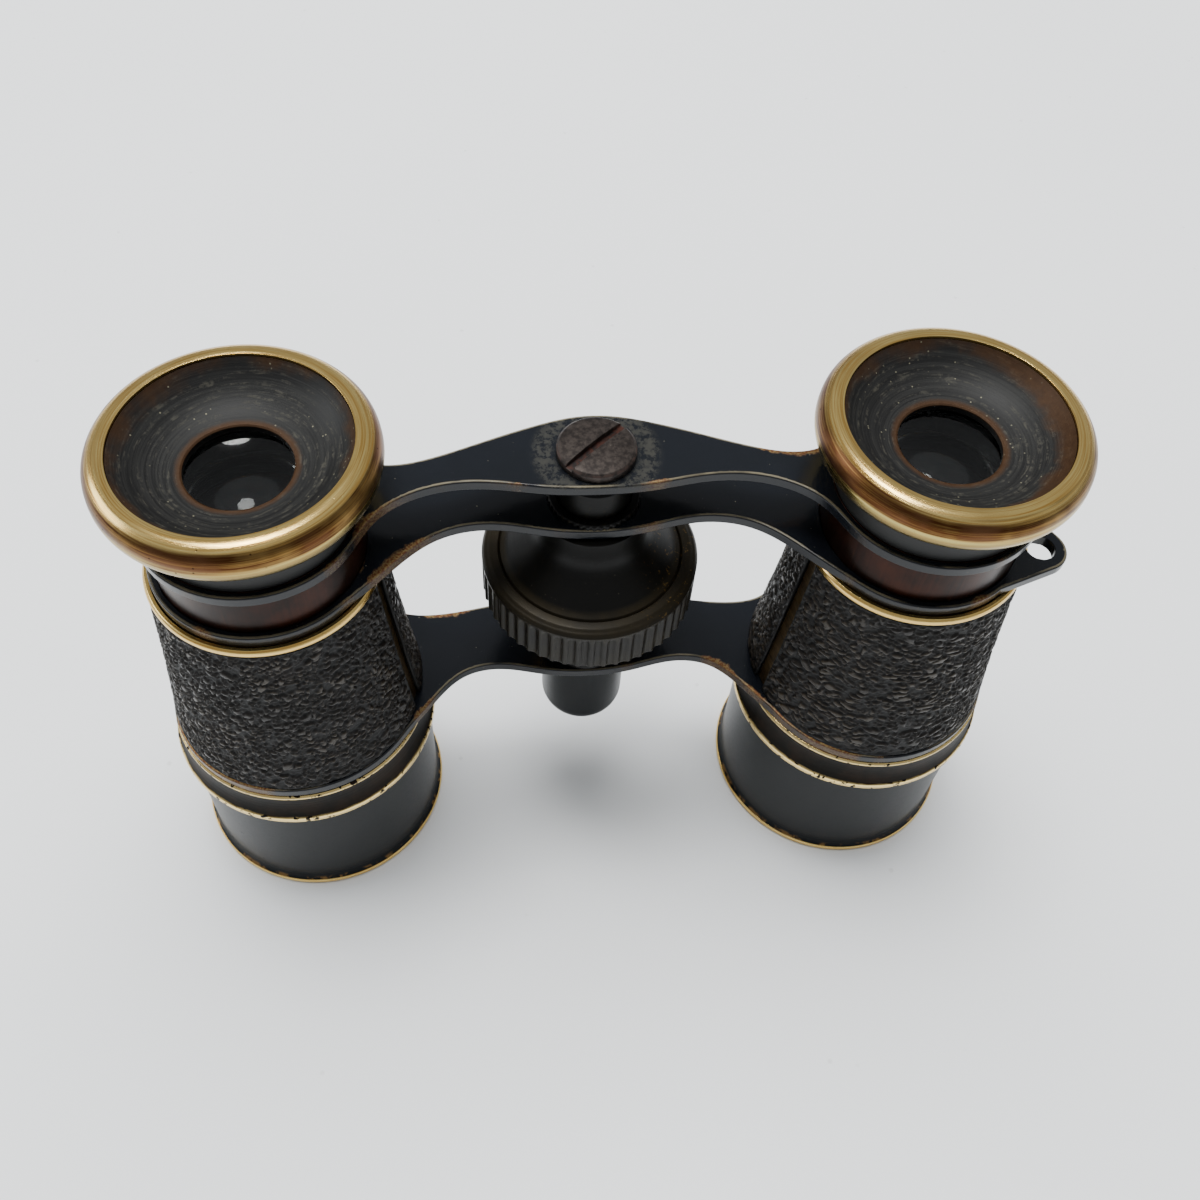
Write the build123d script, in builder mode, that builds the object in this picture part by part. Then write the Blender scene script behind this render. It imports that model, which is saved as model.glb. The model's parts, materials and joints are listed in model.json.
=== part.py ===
from build123d import *
import math
import os

# A pair of Galilean field glasses standing on their sunshades, eyecups up.
# Millimetres, +Z up. The origin is on the table at the middle of the glasses' box.
# X runs from the left barrel to the right barrel; -Y is the near side.

os.makedirs("parts", exist_ok=True)

# ---- driving dimensions ------------------------------------------------------------
axis_spacing = 62.0        # between the two optical axes
moulding_r = 14.0          # widest ring of a barrel, its lower bead
wheel_r = 11.0             # focus wheel over the ribs
focus_offset = 4.7         # the focus screw stands this far behind the optical axes

plate = 1.2                # thickness of all three bridges
lower_plate_z = 21.3       # underside of each bridge
middle_plate_z = 45.0
top_plate_z = 50.9

wall = 0.45                # drawn brass tube
snug = 0.03                # gap between pieces fixed to each other
running = 0.07             # radial clearance of what slides or turns

barrel_x = axis_spacing / 2
barrel_y = (moulding_r - wheel_r - focus_offset) / 2
focus_y = barrel_y + focus_offset
lower_plate_top = lower_plate_z + plate
middle_plate_top = middle_plate_z + plate
seat_z = top_plate_z + plate      # the eyecups and the bridge screw sit on this face

# barrels: a straight lower tube and a tapered upper one
lower_tube_r = 12.45
barrel_foot_z = 3.4
taper_radii = (12.5, 11.2, 10.25)           # outside of the brass at the three heights
taper_heights = (lower_plate_top, 34.0, middle_plate_z)
leather_thickness = 0.5
leather_top_z = 44.0
seam_width = 1.7                             # strip of bare brass that the leather leaves
seam_turn = 14.0                             # degrees the strip is turned to the near side

# draw tubes and their travel
draw_r = 9.55
draw_foot_z = 28.0
draw_stop_height = 1.2
bush_foot_z = 37.0

# base moulding, the two beads round the foot of the leather
moulding_foot_z = 16.55
bead_shoulder_r = 13.75
upper_bead_r = 13.38
hollow_r = 13.15

# collar ring that caps the leather
collar_r = 10.98

# sunshades
shade_r = 13.3
shade_top_z = 16.4
shade_flare_r = 13.72
shade_flare_z = 1.9
shade_rim_r = 13.86
shade_rim_foot_r = 13.5
shade_rim_height = 0.75
stop_bead = 0.37           # how far the barrel's stop bead stands out

# objective lenses
objective_r = 11.1
objective_front_z = 6.7
crown_front_radius = 40.0
cement_radius = 32.0
crown_edge = 0.7
objective_back_z = 12.2
cement_gap = 0.02

# eye lenses and eyecups, heights above the seat face
neck_height = 4.2
spigot_depth = 4.6
spigot_wall = 0.7
lens_boss_r = 7.0
eye_hole_r = 4.7
eye_lens_r = 6.1
eye_lens_radius = 18.0
lens_seat = 4.3
hole_lip = 5.05
bowl_edge = 8.05
bowl_r = 10.1
rim_top = 8.3
rim_r = 12.3
rim_waist_r = 11.75

# bridges: rings round the tubes, and the strap lug on the middle one
top_ring_r = 10.2
middle_ring_r = 10.3
lower_ring_r = 13.2
plate_round = 0.22
lower_plate_round = 0.2
column_hole_r = 3.95
lug_centre = (barrel_x + 11.0, barrel_y - 3.9)
lug_r = 2.55
lug_hole_r = 1.4
lug_root_r = 9.9

# bridge screw
head_r = 3.75
head_height = 1.05
head_dome = 0.2
shank_r = 1.5
shank_length = 5.5
slot_width = 0.8
slot_depth = 0.45
slot_turn = 42.0           # degrees from the X axis

# focus gear
screw_r = 2.68
sleeve_r = 3.6
bush_shell_r = 4.02
bush_rim_r = 4.55
nut_r = 3.7
nut_foot_z = 23.4
nut_top_z = 32.9
pillar_top_z = 31.3
washer_thickness = 0.4
wheel_foot_z = pillar_top_z + washer_thickness + 2 * snug
wheel_top_z = middle_plate_z - 0.25
cap_r = 4.65
cap_foot_z = 8.6
screw_foot_z = 15.8
cap_wall = 0.7
flute_count = 52
flute_share = 0.36         # flute cutter's radius over the pitch
rim_top_z = 37.7           # top of the wheel's fluted rim
bush_tooth_count = 44

focus_axis = Axis((0, focus_y, 0), (0, 0, 1))
focus_plane = Plane(origin=(0, focus_y, 0), x_dir=(1, 0, 0), z_dir=(0, -1, 0))


def keep(piece, name):
    """Label a finished piece and write it."""
    piece.part.label = name
    export_step(piece.part, f"parts/{name}.step")


def sag(radius, reach):
    """Depth of a spherical face of that radius, out to that reach."""
    return radius - math.sqrt(radius**2 - reach**2)


def on_ring(ring_r, degrees):
    """Point of the right barrel's ring, seen from above, from the inner side round."""
    angle = math.radians(180 + degrees)
    return (barrel_x + ring_r * math.cos(angle), barrel_y + ring_r * math.sin(angle))


# ---- the two barrels, alike but for the side that the leather's seam faces ----------
for side, sign in (("left", -1), ("right", 1)):
    x = sign * barrel_x
    axis = Axis((x, barrel_y, 0), (0, 0, 1))
    half_section = Plane(origin=(x, barrel_y, 0), x_dir=(1, 0, 0), z_dir=(0, -1, 0))

    # Barrel: stop bead at the foot, straight tube, then the tapered body.
    with BuildPart() as barrel:
        with BuildSketch(half_section):
            with BuildLine():
                outer = ThreePointArc(*zip(taper_radii, taper_heights))
                Polyline(
                    outer @ 0,
                    (lower_tube_r, lower_plate_z),
                    (lower_tube_r, barrel_foot_z + 1.0),
                    (lower_tube_r + stop_bead, barrel_foot_z + 0.9),
                    (lower_tube_r + stop_bead, barrel_foot_z),
                    (lower_tube_r - wall, barrel_foot_z),
                    (lower_tube_r - wall, taper_heights[0]),
                )
                inner = ThreePointArc(
                    *((r - wall, z) for r, z in zip(taper_radii, taper_heights))
                )
                Line(inner @ 0, (lower_tube_r - wall, taper_heights[0]))
                Line(inner @ 1, outer @ 1)
            make_face()
        revolve(axis=axis)
    keep(barrel, f"{side}_barrel")

    # Leather cover, wrapped round the taper, open along the seam that faces inwards.
    with BuildPart() as leather:
        with BuildSketch(half_section):
            with BuildLine():
                low = lower_plate_top + 0.1
                skin = ThreePointArc(
                    (taper_radii[0] + leather_thickness, low),
                    (taper_radii[1] + leather_thickness, taper_heights[1]),
                    (taper_radii[2] + leather_thickness + 0.1, leather_top_z),
                )
                flesh = ThreePointArc(
                    (taper_radii[0] + snug, low),
                    (taper_radii[1] + snug, taper_heights[1]),
                    (taper_radii[2] + snug + 0.1, leather_top_z),
                )
                Line(skin @ 0, flesh @ 0)
                Line(skin @ 1, flesh @ 1)
            make_face()
        revolve(axis=axis)
        seam_angle = -seam_turn if sign < 0 else 180 + seam_turn
        seam_plane = Plane(axis.position, x_dir=Vector(1, 0, 0).rotate(Axis.Z, seam_angle))
        with BuildSketch(seam_plane):
            with Locations((moulding_r, 0)):
                Rectangle(moulding_r, seam_width)
        extrude(amount=middle_plate_z, mode=Mode.SUBTRACT)
    keep(leather, f"{side}_leather")

    # Base moulding: a broad lower bead, a hollow band and a fine upper bead.
    with BuildPart() as moulding:
        with BuildSketch(half_section):
            with BuildLine():
                bore = lower_tube_r + snug
                foot = moulding_foot_z
                top = lower_plate_z - snug
                shoulder = (bead_shoulder_r, foot + 1.1)
                waist = (hollow_r, top - 0.55)
                Polyline(
                    shoulder,
                    (moulding_r - 0.08, foot + 1.0),
                    (moulding_r, foot + 0.75),
                    (moulding_r, foot + 0.4),
                    (moulding_r - 0.3, foot),
                    (bore, foot),
                    (bore, top),
                    (upper_bead_r - 0.18, top),
                    (upper_bead_r, top - 0.15),
                    (upper_bead_r, top - 0.4),
                    waist,
                )
                ThreePointArc(shoulder, (hollow_r + 0.1, foot + 2.3), waist)
            make_face()
        revolve(axis=axis)
    keep(moulding, f"{side}_base_moulding")

    # Collar ring: the bright bead that caps the leather.
    with BuildPart() as collar:
        with BuildSketch(half_section):
            with BuildLine():
                foot = leather_top_z + 0.05
                top = middle_plate_z - snug
                bore = taper_radii[2] + 0.13
                Polyline(
                    (collar_r - 0.23, foot),
                    (bore, foot),
                    (bore, top),
                    (collar_r - 0.28, top),
                )
                ThreePointArc(
                    (collar_r - 0.23, foot),
                    (collar_r, (foot + top) / 2),
                    (collar_r - 0.28, top),
                )
            make_face()
        revolve(axis=axis)
    keep(collar, f"{side}_collar_ring")

    # Draw bush: guides the draw tube in the barrel's neck.
    with BuildPart() as bush:
        with BuildSketch(half_section):
            with BuildLine():
                bore = draw_r + running
                shell = taper_radii[2] - wall - snug
                Polyline(
                    (bore, bush_foot_z),
                    (bore, middle_plate_z - snug),
                    (shell, middle_plate_z - snug),
                    (shell, bush_foot_z + 1.0),
                    (shell + 0.4, bush_foot_z + 0.8),
                    (shell + 0.4, bush_foot_z),
                    close=True,
                )
            make_face()
        revolve(axis=axis)
    keep(bush, f"{side}_draw_bush")

    # Objective cell, screwed into the barrel's foot: a shoulder at the back of the bore.
    cell_r = lower_tube_r - wall - snug
    lens_bore = objective_r + 0.05
    with BuildPart() as cell:
        with BuildSketch(half_section):
            with BuildLine():
                Polyline(
                    (lens_bore, objective_front_z - 1.1),
                    (cell_r, objective_front_z - 1.1),
                    (cell_r, objective_back_z + 1.0),
                    (objective_r - 0.8, objective_back_z + 1.0),
                    (objective_r - 0.8, objective_back_z + 0.05),
                    (lens_bore, objective_back_z + 0.05),
                    close=True,
                )
            make_face()
        revolve(axis=axis)
    keep(cell, f"{side}_objective_cell")

    # Objective: a biconvex crown in front, a plano-concave flint behind it.
    crown_edge_z = objective_front_z + sag(crown_front_radius, objective_r)
    joint_edge_z = crown_edge_z + crown_edge
    joint_vertex_z = joint_edge_z + sag(cement_radius, objective_r)
    with BuildPart() as crown:
        with BuildSketch(half_section):
            with BuildLine():
                Line((0, objective_front_z), (0, joint_vertex_z))
                RadiusArc((0, joint_vertex_z), (objective_r, joint_edge_z), cement_radius)
                Line((objective_r, joint_edge_z), (objective_r, crown_edge_z))
                RadiusArc(
                    (objective_r, crown_edge_z), (0, objective_front_z), crown_front_radius
                )
            make_face()
        revolve(axis=axis)
    keep(crown, f"{side}_objective_crown")

    with BuildPart() as flint:
        with BuildSketch(half_section):
            with BuildLine():
                vertex = joint_vertex_z + cement_gap
                edge = joint_edge_z + cement_gap
                RadiusArc((0, vertex), (objective_r, edge), cement_radius)
                Polyline(
                    (objective_r, edge),
                    (objective_r, objective_back_z),
                    (0, objective_back_z),
                    (0, vertex),
                )
            make_face()
        revolve(axis=axis)
    keep(flint, f"{side}_objective_flint")

    # Retaining ring in front of the crown, with two slots for a spanner.
    with BuildPart() as ring:
        ring_top = crown_edge_z - 0.25
        with BuildSketch(half_section):
            with Locations((objective_r - 0.4, ring_top - 0.7)):
                Rectangle(0.8, 1.4)
        revolve(axis=axis)
        with BuildSketch(Plane((x, barrel_y, ring_top - 1.4))):
            Rectangle(2 * moulding_r, 0.8)
        extrude(amount=0.6, mode=Mode.SUBTRACT)
    keep(ring, f"{side}_objective_ring")

    # Sunshade: slides over the barrel's straight tube; its inner lip meets the stop bead.
    with BuildPart() as shade:
        with BuildSketch(half_section):
            with BuildLine():
                bore = lower_tube_r + stop_bead + running
                lip = lower_tube_r + running
                flare = (shade_flare_r, shade_rim_height + 0.05)
                Polyline(
                    (lip, shade_top_z),
                    (shade_r, shade_top_z),
                    (shade_r, shade_flare_z),
                )
                ThreePointArc((shade_r, shade_flare_z), (shade_r + 0.13, 1.2), flare)
                Polyline(
                    flare,
                    (shade_flare_r, shade_rim_height + 0.02),
                    (bore, shade_rim_height + 0.02),
                    (bore, shade_top_z - 1.0),
                    (lip, shade_top_z - 1.0),
                    (lip, shade_top_z),
                )
            make_face()
        revolve(axis=axis)
    keep(shade, f"{side}_sunshade")

    # The sunshade's brass foot rim.
    with BuildPart() as shade_rim:
        with BuildSketch(half_section):
            with BuildLine():
                bore = lower_tube_r + stop_bead + running
                foot = (shade_rim_foot_r, 0)
                top = (shade_flare_r, shade_rim_height)
                Polyline(
                    foot,
                    (bore, 0),
                    (bore, shade_rim_height),
                    top,
                )
                ThreePointArc(top, (shade_rim_r, 0.35), foot)
            make_face()
        revolve(axis=axis)
    keep(shade_rim, f"{side}_sunshade_rim")

    # Draw tube and the ring on its foot that stops it in the bush.
    with BuildPart() as draw_tube:
        with BuildSketch(Plane((x, barrel_y, draw_foot_z))):
            Circle(draw_r)
            Circle(draw_r - wall, mode=Mode.SUBTRACT)
        extrude(amount=seat_z - draw_foot_z)
    keep(draw_tube, f"{side}_draw_tube")

    with BuildPart() as draw_stop:
        with BuildSketch(Plane((x, barrel_y, draw_foot_z))):
            Circle(draw_r + 0.6)
            Circle(draw_r + snug, mode=Mode.SUBTRACT)
        extrude(amount=draw_stop_height)
    keep(draw_stop, f"{side}_draw_stop")

    # Eyecup: a shallow bowl with a neck, a threaded spigot and a boss for the eye lens.
    spigot_r = draw_r - wall - snug
    with BuildPart() as eyecup:
        with BuildSketch(half_section):
            with BuildLine():
                bowl = ThreePointArc(
                    (eye_hole_r + 0.15, seat_z + hole_lip),
                    (7.7, seat_z + hole_lip + 0.85),
                    (bowl_r, seat_z + bowl_edge),
                )
                Polyline(
                    bowl @ 1,
                    (bowl_r, seat_z + neck_height + 0.7),
                    (draw_r - 0.1, seat_z + neck_height),
                    (draw_r - 0.1, seat_z + snug),
                    (spigot_r, seat_z + snug),
                    (spigot_r, seat_z - spigot_depth),
                    (spigot_r - spigot_wall, seat_z - spigot_depth),
                    (spigot_r - spigot_wall, seat_z + neck_height + 0.6),
                    (lens_boss_r, seat_z + neck_height + 0.3),
                    (lens_boss_r, seat_z),
                    (eye_lens_r + 0.05, seat_z),
                    (eye_lens_r + 0.05, seat_z + lens_seat),
                    (eye_hole_r, seat_z + lens_seat),
                    (eye_hole_r, seat_z + hole_lip - 0.12),
                    bowl @ 0,
                )
            make_face()
        revolve(axis=axis)
    keep(eyecup, f"{side}_eyecup")

    # Eyecup rim: the heavy rounded brass ring round the bowl.
    with BuildPart() as rim:
        with BuildSketch(half_section):
            with BuildLine():
                inside = bowl_r + snug
                crest = (inside, seat_z + rim_top)
                widest = (rim_r, seat_z + rim_top - 1.8)
                waist = (rim_waist_r, seat_z + neck_height + 0.55)
                ThreePointArc(crest, (rim_r - 0.65, seat_z + rim_top - 0.35), widest)
                ThreePointArc(widest, (rim_r - 0.06, seat_z + rim_top - 2.75), waist)
                Polyline(
                    waist,
                    (bowl_r + 0.6, seat_z + neck_height + 0.2),
                    (inside, seat_z + neck_height + 0.75),
                    crest,
                )
            make_face()
        revolve(axis=axis)
    keep(rim, f"{side}_eyecup_rim")

    # Eye lens, hollow on both faces, and the ring that holds it up in its boss.
    lens_top = seat_z + lens_seat - snug
    lens_foot = seat_z + 1.2
    hollow = sag(eye_lens_radius, eye_lens_r)
    with BuildPart() as eye_lens:
        with BuildSketch(half_section):
            with BuildLine():
                RadiusArc((0, lens_top - hollow), (eye_lens_r, lens_top), -eye_lens_radius)
                Line((eye_lens_r, lens_top), (eye_lens_r, lens_foot))
                RadiusArc((eye_lens_r, lens_foot), (0, lens_foot + hollow), -eye_lens_radius)
                Line((0, lens_foot + hollow), (0, lens_top - hollow))
            make_face()
        revolve(axis=axis)
    keep(eye_lens, f"{side}_eye_lens")

    with BuildPart() as lens_ring:
        with BuildSketch(Plane((x, barrel_y, seat_z + 0.1))):
            Circle(eye_lens_r)
            Circle(eye_lens_r - 0.9, mode=Mode.SUBTRACT)
        extrude(amount=1.05)
        with BuildSketch(Plane((x, barrel_y, seat_z + 0.1))):
            Rectangle(2 * eye_lens_r + 1, 0.8)
        extrude(amount=0.5, mode=Mode.SUBTRACT)
    keep(lens_ring, f"{side}_eye_lens_ring")


# ---- the three bridges --------------------------------------------------------------
# Each is a flat plate of two rings and an arm that bows back round the focus screw.
# An arm's edges are given for the right half: distances from the optical axes' line.
def bridge_outline(ring_r, near, near_join, far, far_join):
    """The plate's face; the joins say where on the ring each edge runs into it."""
    near_end = on_ring(ring_r, near_join)
    far_end = on_ring(ring_r, -far_join)
    near_points = [(px, barrel_y + py) for px, py in near] + [near_end]
    far_points = [(px, barrel_y + py) for px, py in far] + [far_end]
    down = math.radians(near_join)
    up = math.radians(far_join)
    with BuildSketch() as outline:
        with BuildLine():
            Spline(*near_points, tangents=((1, 0), (math.sin(down), -math.cos(down))))
            Spline(*far_points, tangents=((1, 0), (math.sin(up), math.cos(up))))
            Polyline(near_end, (barrel_x, barrel_y), far_end)
            Line(near_points[0], far_points[0])
        make_face()
        mirror(about=Plane.YZ)
        with Locations((-barrel_x, barrel_y), (barrel_x, barrel_y)):
            Circle(ring_r)
    return outline.sketch


def plate_rims(piece):
    """The outer edges of a plate's two faces, without those of its holes."""
    faces = (
        piece.faces().filter_by(Axis.Z).sort_by(Axis.Z)[0],
        piece.faces().filter_by(Axis.Z).sort_by(Axis.Z)[-1],
    )
    return [edge for face in faces for edge in face.outer_wire().edges()]


top_outline = bridge_outline(
    top_ring_r,
    near=((0, 0.5), (5, 0.8), (10, 1.6), (15, 1.3), (20, -1.5)),
    near_join=27,
    far=((0, 9.5), (5, 8.6), (10, 6.8), (15, 4.9), (19.5, 4.2)),
    far_join=36,
)
with BuildPart() as top_bridge:
    with BuildSketch(Plane.XY.offset(top_plate_z)):
        add(top_outline)
    extrude(amount=plate)
    fillet(plate_rims(top_bridge), plate_round)
    with BuildSketch(Plane.XY.offset(top_plate_z)):
        with Locations((-barrel_x, barrel_y), (barrel_x, barrel_y)):
            Circle(draw_r + snug)
        with Locations((0, focus_y)):
            Circle(shank_r + 0.1)
    extrude(amount=plate, mode=Mode.SUBTRACT)
keep(top_bridge, "top_bridge")

# The middle bridge also carries the strap lug, a drawn-out tip on the right ring.
middle_outline = bridge_outline(
    middle_ring_r,
    near=((0, 0.05), (5, 0.6), (10, 1.55), (15, 0.6), (20, -3.6)),
    near_join=45,
    far=((0, 9.5), (5, 8.8), (10, 7.6), (14.5, 6.5), (18.3, 5.9)),
    far_join=36,
)
with BuildSketch() as lug_outline:
    with BuildLine():
        CenterArc((barrel_x, barrel_y), lug_root_r, 0, 360)
        CenterArc(lug_centre, lug_r, 0, 360)
    make_hull()
with BuildPart() as middle_bridge:
    with BuildSketch(Plane.XY.offset(middle_plate_z)):
        add(middle_outline)
        add(lug_outline.sketch)
    extrude(amount=plate)
    fillet(plate_rims(middle_bridge), plate_round)
    with BuildSketch(Plane.XY.offset(middle_plate_z)):
        with Locations((-barrel_x, barrel_y), (barrel_x, barrel_y)):
            Circle(draw_r + running)
        with Locations((0, focus_y)):
            Circle(bush_shell_r + snug)
        with Locations(lug_centre):
            Circle(lug_hole_r)
    extrude(amount=plate, mode=Mode.SUBTRACT)
keep(middle_bridge, "middle_bridge")

lower_outline = bridge_outline(
    lower_ring_r,
    near=((0, -0.6), (5, -0.1), (10, 0.8), (13.5, 0), (17, -3.4)),
    near_join=34,
    far=((0, 9.6), (5, 9.4), (10, 8.8), (14.5, 8.0)),
    far_join=44,
)
with BuildPart() as lower_bridge:
    with BuildSketch(Plane.XY.offset(lower_plate_z)):
        add(lower_outline)
    extrude(amount=plate)
    fillet(plate_rims(lower_bridge), lower_plate_round)
    with BuildSketch(Plane.XY.offset(lower_plate_z)):
        with Locations((-barrel_x, barrel_y), (barrel_x, barrel_y)):
            Circle(taper_radii[0] + snug)
        with Locations((0, focus_y)):
            Circle(column_hole_r)
    extrude(amount=plate, mode=Mode.SUBTRACT)
keep(lower_bridge, "lower_bridge")


# ---- focus gear ---------------------------------------------------------------------
# Column bush: lines the middle bridge's hole; its finely toothed rim stands on the plate.
with BuildPart() as column_bush:
    with BuildSketch(focus_plane):
        with BuildLine():
            Polyline(
                (sleeve_r + running, middle_plate_z - 0.05),
                (bush_shell_r, middle_plate_z - 0.05),
                (bush_shell_r, middle_plate_top + snug),
                (bush_rim_r, middle_plate_top + snug),
                (bush_rim_r, middle_plate_top + 0.4),
                (bush_rim_r - 0.2, middle_plate_top + 0.55),
                (sleeve_r + running, middle_plate_top + 0.55),
                close=True,
            )
        make_face()
    revolve(axis=focus_axis)
    with BuildSketch(Plane((0, focus_y, middle_plate_top + snug))):
        with PolarLocations(bush_rim_r + 0.05, bush_tooth_count):
            Rectangle(0.5, 0.26)
    extrude(amount=1.0, mode=Mode.SUBTRACT)
keep(column_bush, "column_bush")

# Focus sleeve: the plain column under the top bridge, with a short neck at its top.
with BuildPart() as focus_sleeve:
    with BuildSketch(focus_plane):
        with BuildLine():
            sleeve_foot = nut_top_z + 4.3
            Polyline(
                (screw_r + snug, sleeve_foot),
                (sleeve_r, sleeve_foot),
                (sleeve_r, top_plate_z - 1.05),
                (sleeve_r - 0.2, top_plate_z - 0.85),
                (3.1, top_plate_z - 0.85),
                (3.1, top_plate_z - snug),
                (screw_r + snug, top_plate_z - snug),
                close=True,
            )
        make_face()
    revolve(axis=focus_axis)
keep(focus_sleeve, "focus_sleeve")

# Focus screw: the long screw that the nut drives up and down.
with BuildPart() as focus_screw:
    with BuildSketch(Plane((0, focus_y, screw_foot_z))):
        Circle(screw_r)
    extrude(amount=top_plate_z - snug - screw_foot_z)
    chamfer(focus_screw.edges().group_by(Axis.Z)[0], 0.4)
    with Locations((0, focus_y, top_plate_z - snug)):
        Hole(shank_r + 0.05, depth=shank_length + 0.5)
    with Locations(Location((0, focus_y, screw_foot_z), (180, 0, 0))):
        Hole(1.05, depth=4.0)
keep(focus_screw, "focus_screw")

# End screw: a cheese-head in the focus screw's foot that keeps it from winding out.
with BuildPart() as end_screw:
    with BuildSketch(Plane((0, focus_y, screw_foot_z - 1.15))):
        Circle(2.95)
    extrude(amount=1.1)
    with BuildSketch(Plane((0, focus_y, screw_foot_z - 0.1))):
        Circle(1.0)
    extrude(amount=3.6)
    with BuildSketch(Plane((0, focus_y, screw_foot_z - 1.15))):
        Rectangle(7, 0.6)
    extrude(amount=0.5, mode=Mode.SUBTRACT)
keep(end_screw, "end_screw")

# Bridge screw: the large slotted head on the top bridge.
with BuildPart() as bridge_screw:
    with BuildSketch(focus_plane):
        with BuildLine():
            head_top = seat_z + head_height
            crown = (0, head_top + head_dome)
            brow = (head_r - 0.25, head_top - 0.05)
            ThreePointArc(crown, (head_r / 2 + 0.025, head_top + 0.15), brow)
            Polyline(
                brow,
                (head_r, head_top - 0.3),
                (head_r, seat_z + snug),
                (shank_r, seat_z + snug),
                (shank_r, seat_z - shank_length),
                (0, seat_z - shank_length - 0.3),
                crown,
            )
        make_face()
    revolve(axis=focus_axis)
    slot_plane = Plane(
        (0, focus_y, head_top - slot_depth),
        x_dir=Vector(1, 0, 0).rotate(Axis.Z, slot_turn),
    )
    with BuildSketch(slot_plane):
        Rectangle(3 * head_r, slot_width)
    extrude(amount=2 * slot_depth + head_dome, mode=Mode.SUBTRACT)
keep(bridge_screw, "bridge_screw")

# Focus nut: fixed in the wheel, its journal turns in the pillar.
with BuildPart() as focus_nut:
    with BuildSketch(Plane((0, focus_y, nut_foot_z))):
        Circle(nut_r)
        Circle(screw_r + running, mode=Mode.SUBTRACT)
    extrude(amount=nut_top_z - nut_foot_z)
keep(focus_nut, "focus_nut")

# Focus wheel: fluted rim, a step and a groove, then a bell that rises to the neck.
rim_foot = wheel_foot_z + 0.3
with BuildPart() as focus_wheel:
    with BuildSketch(focus_plane):
        with BuildLine():
            bell = Spline(
                (9.1, rim_top_z + 0.4),
                (7.6, 39.3),
                (5.9, 41.0),
                (5.3, wheel_top_z - 1.2),
                tangents=((-1, 0.45), (0, 1)),
            )
            Polyline(
                bell @ 1,
                (5.3, wheel_top_z),
                (sleeve_r + 0.15, wheel_top_z),
                (sleeve_r + 0.15, nut_top_z + 0.05),
                (nut_r + snug, nut_top_z + 0.05),
                (nut_r + snug, wheel_foot_z),
                (7.0, wheel_foot_z),
                (9.6, wheel_foot_z + 0.5),
                (10.6, rim_foot),
                (wheel_r, rim_foot + 0.35),
                (wheel_r, rim_top_z - 0.3),
                (wheel_r - 0.25, rim_top_z),
                (wheel_r - 0.9, rim_top_z + 0.3),
                (wheel_r - 1.6, rim_top_z + 0.35),
                (wheel_r - 1.75, rim_top_z + 0.1),
                bell @ 0,
            )
        make_face()
    revolve(axis=focus_axis)
    flute_pitch = 2 * math.pi * wheel_r / flute_count
    flute_r = flute_share * flute_pitch
    with BuildSketch(Plane((0, focus_y, rim_foot - 0.6))):
        with PolarLocations(wheel_r + 0.12, flute_count):
            Circle(flute_r)
    extrude(amount=rim_top_z - 0.55 - rim_foot + 0.6, mode=Mode.SUBTRACT)
keep(focus_wheel, "focus_wheel")

# Washer between the wheel and the pillar.
with BuildPart() as wheel_washer:
    with BuildSketch(Plane((0, focus_y, pillar_top_z + snug))):
        Circle(5.6)
        Circle(nut_r + running + 0.1, mode=Mode.SUBTRACT)
    extrude(amount=washer_thickness - snug)
keep(wheel_washer, "wheel_washer")

# Pillar: stands on the lower bridge; its spigot goes through to take the screw cap.
with BuildPart() as wheel_pillar:
    with BuildSketch(focus_plane):
        with BuildLine():
            Polyline(
                (nut_r + running, pillar_top_z),
                (4.7, pillar_top_z),
                (4.7, lower_plate_top + 1.1),
                (5.1, lower_plate_top + 0.7),
                (5.1, lower_plate_top + snug),
                (3.9, lower_plate_top + snug),
                (3.9, lower_plate_z - 4.5),
                (3.1, lower_plate_z - 4.5),
                (3.1, nut_foot_z - 0.4),
                (nut_r + running, nut_foot_z - 0.4),
                close=True,
            )
        make_face()
    revolve(axis=focus_axis)
keep(wheel_pillar, "wheel_pillar")

# Screw cap: the round-ended tube that covers the screw's foot.
with BuildPart() as screw_cap:
    with BuildSketch(focus_plane):
        with BuildLine():
            cap_top = lower_plate_z - snug
            round_z = cap_foot_z + 3.4
            outside = EllipticalCenterArc(
                (0, round_z), cap_r, round_z - cap_foot_z, start_angle=270, arc_size=90
            )
            inside = EllipticalCenterArc(
                (0, round_z),
                cap_r - cap_wall,
                round_z - cap_foot_z - cap_wall,
                start_angle=270,
                arc_size=90,
            )
            Polyline(
                outside @ 1,
                (cap_r, cap_top - 0.3),
                (cap_r - 0.2, cap_top),
                (cap_r - cap_wall, cap_top),
                inside @ 1,
            )
            Line(outside @ 0, inside @ 0)
        make_face()
    revolve(axis=focus_axis)
keep(screw_cap, "screw_cap")
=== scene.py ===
"""A pair of leather-covered field glasses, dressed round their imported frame."""
import json
import math

import bmesh
import bpy
import numpy as np
from mathutils import Matrix, Vector
from mathutils.geometry import delaunay_2d_cdt
from mathutils.kdtree import KDTree

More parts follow.
